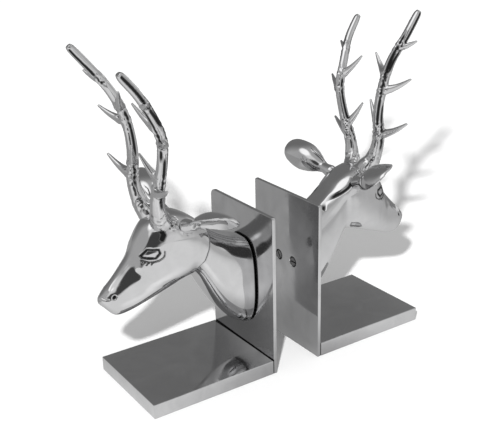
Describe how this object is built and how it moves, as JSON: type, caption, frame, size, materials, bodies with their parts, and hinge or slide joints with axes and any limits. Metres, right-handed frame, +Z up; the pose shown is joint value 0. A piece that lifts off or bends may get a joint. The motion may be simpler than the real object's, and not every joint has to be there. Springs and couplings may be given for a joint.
{
  "type": "stag head book ends",
  "caption": "Pair of polished metal book ends, each an L-shaped plate with an outward-facing stag head with branched antlers and cupped ears.",
  "frame": {"origin": "on the floor, midway between the two book faces, at the middle of the pair's width", "axes": "+X from the left book end to the right one, -Y the front, +Z up"},
  "size_m": [0.341, 0.1464, 0.3094],
  "materials": {
    "polished_plate": "mirror-polished aluminium plate with fine polishing haze",
    "polished_casting": "hand-polished cast aluminium, slightly uneven",
    "screw_steel": "slotted countersunk steel screw, dull"
  },
  "bodies": {
    "left_book_end": {"left_base_plate": "polished_plate", "left_upright_plate": "polished_plate", "left_stag_head": "polished_casting", "left_antler_front": "polished_casting", "left_antler_back": "polished_casting", "left_ear_front": "polished_casting", "left_ear_back": "polished_casting", "left_screw_front": "screw_steel", "left_screw_back": "screw_steel"},
    "right_book_end": {"right_base_plate": "polished_plate", "right_upright_plate": "polished_plate", "right_stag_head": "polished_casting", "right_antler_front": "polished_casting", "right_antler_back": "polished_casting", "right_ear_front": "polished_casting", "right_ear_back": "polished_casting", "right_screw_front": "screw_steel", "right_screw_back": "screw_steel"}
  },
  "joints": [
    {"name": "book_gap", "type": "slide", "parent": "left_book_end", "child": "right_book_end", "axis": [1, 0, 0], "range_m": [-0.04, 0.3]}
  ]
}
